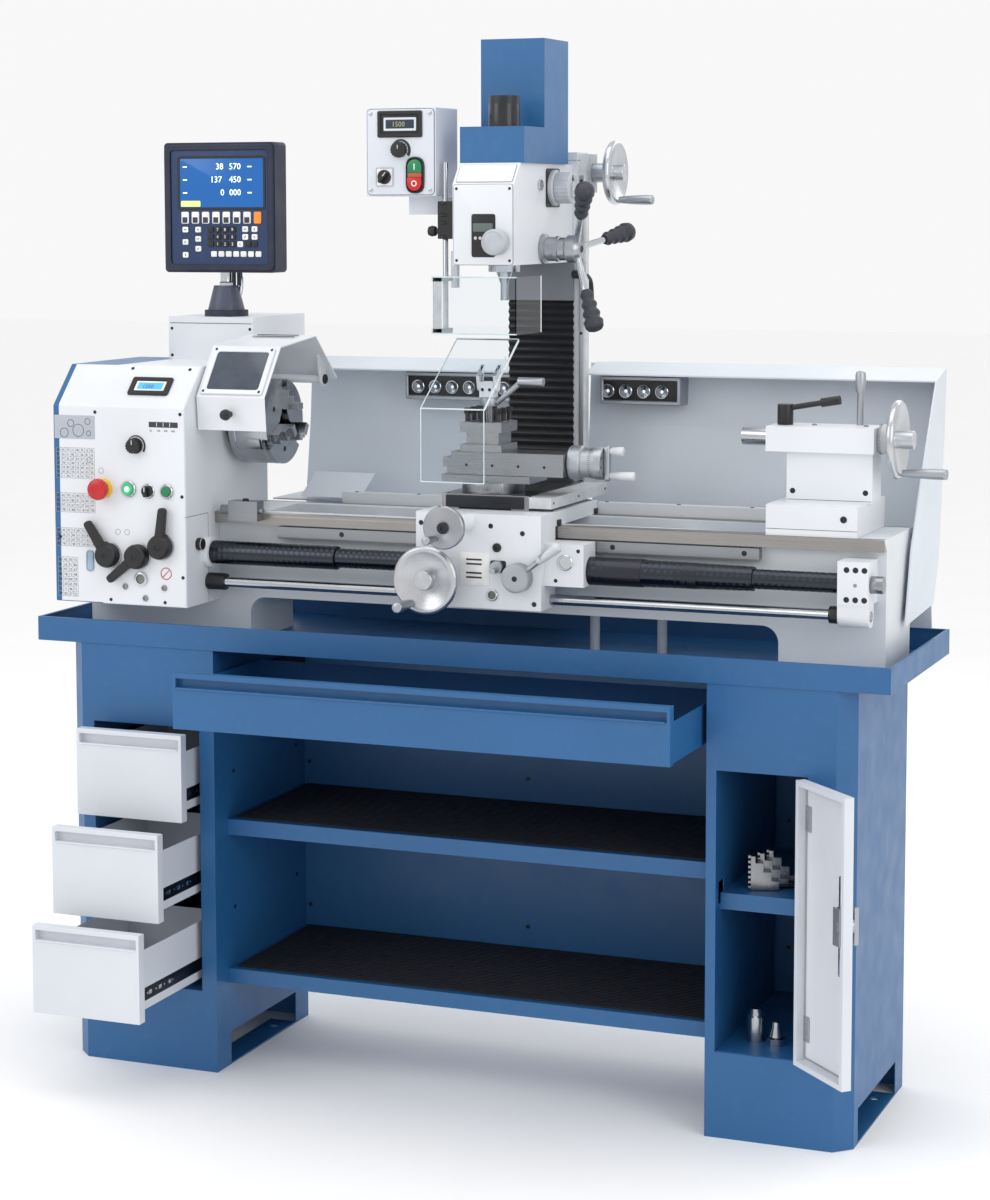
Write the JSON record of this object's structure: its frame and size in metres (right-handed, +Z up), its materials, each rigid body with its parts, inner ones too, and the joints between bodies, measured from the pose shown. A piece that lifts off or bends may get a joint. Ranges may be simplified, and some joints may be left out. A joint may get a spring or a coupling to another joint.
{
  "type": "combination_lathe_mill",
  "caption": "Bench lathe with a milling head on a rear column, on a blue steel stand with drawers, cupboard, shelves, chip tray, splash back and a swivelling position display.",
  "frame": {"origin": "On the floor at the centre of the four outer foot bolt holes.", "axes": "+X runs from headstock to tailstock, +Y from the operator to the back, +Z up."},
  "size_m": [1.6845, 0.774, 1.918],
  "materials": {
    "stand_paint": "satin blue powder coat",
    "panel_paint": "smooth satin white enamel",
    "casting_paint": "pale grey machine enamel",
    "ground_steel": "fine ground and scraped steel",
    "bright_steel": "polished turned steel",
    "hand_wheel": "polished aluminium",
    "black_plastic": "moulded black plastic",
    "stop_red": "glossy red plastic",
    "start_green": "translucent green plastic",
    "reset_green": "green plastic",
    "white_plastic": "moulded off-white plastic",
    "display_blue": "dark slate blue textured coat",
    "clear_guard": "clear polycarbonate sheet",
    "pleat_rubber": "pleated rubberised cloth"
  },
  "bodies": {
    "stand": {"left_cabinet": "stand_paint", "right_cabinet": "stand_paint", "centre_shelves": "stand_paint", "chip_tray": "stand_paint", "bed": "casting_paint", "headstock": "panel_paint", "end_cover": "stand_paint", "control_cabinet": "panel_paint", "backsplash": "casting_paint", "column": "panel_paint", "column_bellows": "pleat_rubber", "screw_covers": "ground_steel"},
    "spindle": {"spindle": "ground_steel", "chuck": "ground_steel"},
    "head": {"mill_head": "panel_paint", "motor_cover": "stand_paint", "control_box": "panel_paint"},
    "top_drawer": {"top_drawer": "panel_paint"},
    "middle_drawer": {"middle_drawer": "panel_paint"},
    "bottom_drawer": {"bottom_drawer": "panel_paint"},
    "wide_drawer": {"wide_drawer": "stand_paint"},
    "cupboard_door": {"cupboard_door": "panel_paint"},
    "door_handle": {"door_handle": "black_plastic"},
    "chuck_jaw_1": {"chuck_jaw_1": "ground_steel"},
    "chuck_jaw_2": {"chuck_jaw_2": "ground_steel"},
    "chuck_jaw_3": {"chuck_jaw_3": "ground_steel"},
    "chuck_guard": {"chuck_guard": "panel_paint"},
    "speed_knob": {"speed_knob": "black_plastic"},
    "emergency_stop": {"emergency_stop": "stop_red"},
    "start_button": {"start_button": "start_green"},
    "reset_button": {"reset_button": "reset_green"},
    "selector_switch": {"selector_switch": "black_plastic"},
    "left_lever": {"left_lever": "black_plastic"},
    "middle_lever": {"middle_lever": "black_plastic"},
    "right_lever": {"right_lever": "black_plastic"},
    "lead_screw": {"lead_screw": "bright_steel"},
    "feed_rod": {"feed_rod": "bright_steel"},
    "carriage": {"carriage": "panel_paint"},
    "carriage_wheel": {"carriage_wheel": "hand_wheel"},
    "half_nut_lever": {"half_nut_lever": "hand_wheel"},
    "feed_lever": {"feed_lever": "hand_wheel"},
    "cross_slide": {"cross_slide": "ground_steel"},
    "cross_wheel": {"cross_wheel": "hand_wheel"},
    "swivel_base": {"swivel_base": "ground_steel"},
    "top_slide": {"top_slide": "ground_steel"},
    "compound_wheel": {"compound_wheel": "bright_steel"},
    "tool_post": {"tool_post": "ground_steel"},
    "tool_clamp": {"tool_clamp": "hand_wheel"},
    "tool_guard": {"tool_guard": "clear_guard"},
    "tailstock": {"tailstock": "panel_paint"},
    "tail_quill": {"tail_quill": "bright_steel"},
    "tail_wheel": {"tail_wheel": "hand_wheel"},
    "quill_lock": {"quill_lock": "black_plastic"},
    "z_wheel": {"z_wheel": "hand_wheel"},
    "mill_quill": {"mill_quill": "bright_steel"},
    "capstan": {"capstan": "black_plastic"},
    "gear_knob": {"gear_knob": "white_plastic"},
    "fine_feed_knob": {"fine_feed_knob": "white_plastic"},
    "spindle_guard": {"spindle_guard": "clear_guard"},
    "dro_unit": {"dro_unit": "display_blue"}
  },
  "joints": [
    {"name": "top_drawer_slide", "type": "slide", "parent": "stand", "child": "top_drawer", "axis": [0, -1, 0], "range_m": [-0.069, 0.231]},
    {"name": "middle_drawer_slide", "type": "slide", "parent": "stand", "child": "middle_drawer", "axis": [0, -1, 0], "range_m": [-0.163, 0.137]},
    {"name": "bottom_drawer_slide", "type": "slide", "parent": "stand", "child": "bottom_drawer", "axis": [0, -1, 0], "range_m": [-0.238, 0.062]},
    {"name": "wide_drawer_slide", "type": "slide", "parent": "stand", "child": "wide_drawer", "axis": [0, -1, 0], "range_m": [-0.175, 0.105]},
    {"name": "cupboard_door_hinge", "type": "hinge", "parent": "stand", "child": "cupboard_door", "pos_m": [0.679, -0.2028, 0.4], "axis": [0, 0, 1], "range_deg": [-135, 0]},
    {"name": "door_handle_turn", "type": "hinge", "parent": "cupboard_door", "child": "door_handle", "pos_m": [0.78012, -0.30392, 0.429], "axis": [-0.7071, -0.7071, 0], "range_deg": [0, 90]},
    {"name": "spindle_turn", "type": "hinge", "parent": "stand", "child": "spindle", "pos_m": [-0.499, 0.015, 1.21], "axis": [1, 0, 0], "continuous": true},
    {"name": "chuck_jaw_1_slide", "type": "slide", "parent": "spindle", "child": "chuck_jaw_1", "axis": [0, 0, 1], "range_m": [-0.013, 0.012]},
    {"name": "chuck_jaw_2_slide", "type": "slide", "parent": "spindle", "child": "chuck_jaw_2", "axis": [0, -0.866, -0.5], "range_m": [-0.013, 0.012]},
    {"name": "chuck_jaw_3_slide", "type": "slide", "parent": "spindle", "child": "chuck_jaw_3", "axis": [0, 0.866, -0.5], "range_m": [-0.013, 0.012]},
    {"name": "chuck_guard_hinge", "type": "hinge", "parent": "stand", "child": "chuck_guard", "pos_m": [-0.499, 0.118, 1.285], "axis": [-1, 0, 0], "range_deg": [0, 50]},
    {"name": "speed_knob_turn", "type": "hinge", "parent": "stand", "child": "speed_knob", "pos_m": [-0.601, -0.205, 1.176], "axis": [0, 1, 0], "range_deg": [-150, 150]},
    {"name": "emergency_stop_press", "type": "slide", "parent": "stand", "child": "emergency_stop", "axis": [0, 1, 0], "range_m": [0, 0.004], "stiffness_N_per_m": 300},
    {"name": "start_button_press", "type": "slide", "parent": "stand", "child": "start_button", "axis": [0, 1, 0], "range_m": [0, 0.004], "stiffness_N_per_m": 300},
    {"name": "reset_button_press", "type": "slide", "parent": "stand", "child": "reset_button", "axis": [0, 1, 0], "range_m": [0, 0.004], "stiffness_N_per_m": 300},
    {"name": "selector_switch_turn", "type": "hinge", "parent": "stand", "child": "selector_switch", "pos_m": [-0.577, -0.205, 1.092], "axis": [0, 1, 0], "range_deg": [-45, 45]},
    {"name": "left_lever_turn", "type": "hinge", "parent": "stand", "child": "left_lever", "pos_m": [-0.66, -0.205, 0.97], "axis": [0, 1, 0], "range_deg": [0, 66]},
    {"name": "middle_lever_turn", "type": "hinge", "parent": "stand", "child": "middle_lever", "pos_m": [-0.598, -0.205, 0.97], "axis": [0, -1, 0], "range_deg": [0, 102]},
    {"name": "right_lever_turn", "type": "hinge", "parent": "stand", "child": "right_lever", "pos_m": [-0.549, -0.205, 0.99], "axis": [0, 1, 0], "range_deg": [-45, 45]},
    {"name": "lead_screw_turn", "type": "hinge", "parent": "stand", "child": "lead_screw", "pos_m": [-0.499, -0.119, 0.973], "axis": [1, 0, 0], "continuous": true},
    {"name": "feed_rod_turn", "type": "hinge", "parent": "stand", "child": "feed_rod", "pos_m": [-0.499, -0.119, 0.918], "axis": [1, 0, 0], "continuous": true},
    {"name": "carriage_slide", "type": "slide", "parent": "stand", "child": "carriage", "axis": [1, 0, 0], "range_m": [-0.16, 0.09]},
    {"name": "carriage_wheel_turn", "type": "hinge", "parent": "carriage", "child": "carriage_wheel", "pos_m": [-0.017, -0.17, 0.955], "axis": [0, 1, 0], "range_deg": [-2900, 1640]},
    {"name": "half_nut_turn", "type": "hinge", "parent": "carriage", "child": "half_nut_lever", "pos_m": [0.144, -0.17, 0.962], "axis": [0, 1, 0], "range_deg": [0, 35]},
    {"name": "feed_lever_turn", "type": "hinge", "parent": "carriage", "child": "feed_lever", "pos_m": [0.104, -0.17, 0.979], "axis": [0, 1, 0], "range_deg": [-30, 30]},
    {"name": "cross_slide_slide", "type": "slide", "parent": "carriage", "child": "cross_slide", "axis": [0, 1, 0], "range_m": [-0.105, 0.005]},
    {"name": "cross_wheel_turn", "type": "hinge", "parent": "carriage", "child": "cross_wheel", "pos_m": [0.042, -0.17, 1.057], "axis": [0, 1, 0], "range_deg": [-9470, 470]},
    {"name": "swivel_turn", "type": "hinge", "parent": "cross_slide", "child": "swivel_base", "pos_m": [0.047, -0.045, 1.099], "axis": [0, 0, 1], "range_deg": [-60, 20]},
    {"name": "top_slide_slide", "type": "slide", "parent": "swivel_base", "child": "top_slide", "axis": [1, 0, 0], "range_m": [-0.04, 0.04]},
    {"name": "compound_wheel_turn", "type": "hinge", "parent": "top_slide", "child": "compound_wheel", "pos_m": [0.196, -0.045, 1.157], "axis": [1, 0, 0], "range_deg": [-4850, 4850]},
    {"name": "tool_post_turn", "type": "hinge", "parent": "top_slide", "child": "tool_post", "pos_m": [0.037, -0.045, 1.174], "axis": [0, 0, 1], "range_deg": [-180, 180]},
    {"name": "tool_clamp_turn", "type": "hinge", "parent": "top_slide", "child": "tool_clamp", "pos_m": [0.037, -0.045, 1.255], "axis": [0, 0, 1], "range_deg": [-40, 30]},
    {"name": "tool_guard_hinge", "type": "hinge", "parent": "top_slide", "child": "tool_guard", "pos_m": [0.037, -0.045, 1.2896], "axis": [-1, 0, 0], "range_deg": [0, 60]},
    {"name": "tailstock_slide", "type": "slide", "parent": "stand", "child": "tailstock", "axis": [1, 0, 0], "range_m": [-0.09, 0.02]},
    {"name": "tail_quill_slide", "type": "slide", "parent": "tailstock", "child": "tail_quill", "axis": [-1, 0, 0], "range_m": [0, 0.08]},
    {"name": "tail_wheel_turn", "type": "hinge", "parent": "tailstock", "child": "tail_wheel", "pos_m": [0.745, 0.015, 1.21], "axis": [1, 0, 0], "range_deg": [-5780, 20]},
    {"name": "quill_lock_turn", "type": "hinge", "parent": "tailstock", "child": "quill_lock", "pos_m": [0.575, 0.015, 1.231], "axis": [0, 0, 1], "range_deg": [-60, 30]},
    {"name": "head_slide", "type": "slide", "parent": "stand", "child": "head", "axis": [0, 0, 1], "range_m": [-0.008, 0.05], "deforming": ["column_bellows"]},
    {"name": "z_wheel_turn", "type": "hinge", "parent": "stand", "child": "z_wheel", "pos_m": [0.112, 0.255, 1.677], "axis": [1, 0, 0], "range_deg": [-590, 3620]},
    {"name": "mill_quill_slide", "type": "slide", "parent": "head", "child": "mill_quill", "axis": [0, 0, -1], "range_m": [0, 0.045]},
    {"name": "capstan_turn", "type": "hinge", "parent": "head", "child": "capstan", "pos_m": [0.104, 0.057, 1.537], "axis": [1, 0, 0], "range_deg": [-2, 158]},
    {"name": "gear_knob_turn", "type": "hinge", "parent": "head", "child": "gear_knob", "pos_m": [0.104, 0.106, 1.648], "axis": [1, 0, 0], "range_deg": [-60, 60]},
    {"name": "fine_feed_turn", "type": "hinge", "parent": "head", "child": "fine_feed_knob", "pos_m": [0.075, -0.09, 1.551], "axis": [0, 1, 0], "range_deg": [-170, 170]},
    {"name": "spindle_guard_hinge", "type": "hinge", "parent": "head", "child": "spindle_guard", "pos_m": [-0.045, -0.049, 1.46], "axis": [0, 0, 1], "range_deg": [-95, 0]},
    {"name": "display_swivel", "type": "hinge", "parent": "stand", "child": "dro_unit", "pos_m": [-0.585, 0.135, 1.415], "axis": [0, 0, 1], "range_deg": [-35, 35]}
  ],
  "couplings": [
    {"joint": "chuck_jaw_2_slide", "follows": "chuck_jaw_1_slide", "ratio": 1},
    {"joint": "chuck_jaw_3_slide", "follows": "chuck_jaw_1_slide", "ratio": 1},
    {"joint": "carriage_wheel_turn", "follows": "carriage_slide", "rad_per_m": 314.16},
    {"joint": "cross_wheel_turn", "follows": "cross_slide_slide", "rad_per_m": 1570.8},
    {"joint": "compound_wheel_turn", "follows": "top_slide_slide", "rad_per_m": 2094.4},
    {"joint": "tail_wheel_turn", "follows": "tail_quill_slide", "rad_per_m": -1256.6},
    {"joint": "z_wheel_turn", "follows": "head_slide", "rad_per_m": 1256.6},
    {"joint": "capstan_turn", "follows": "mill_quill_slide", "rad_per_m": 60}
  ]
}
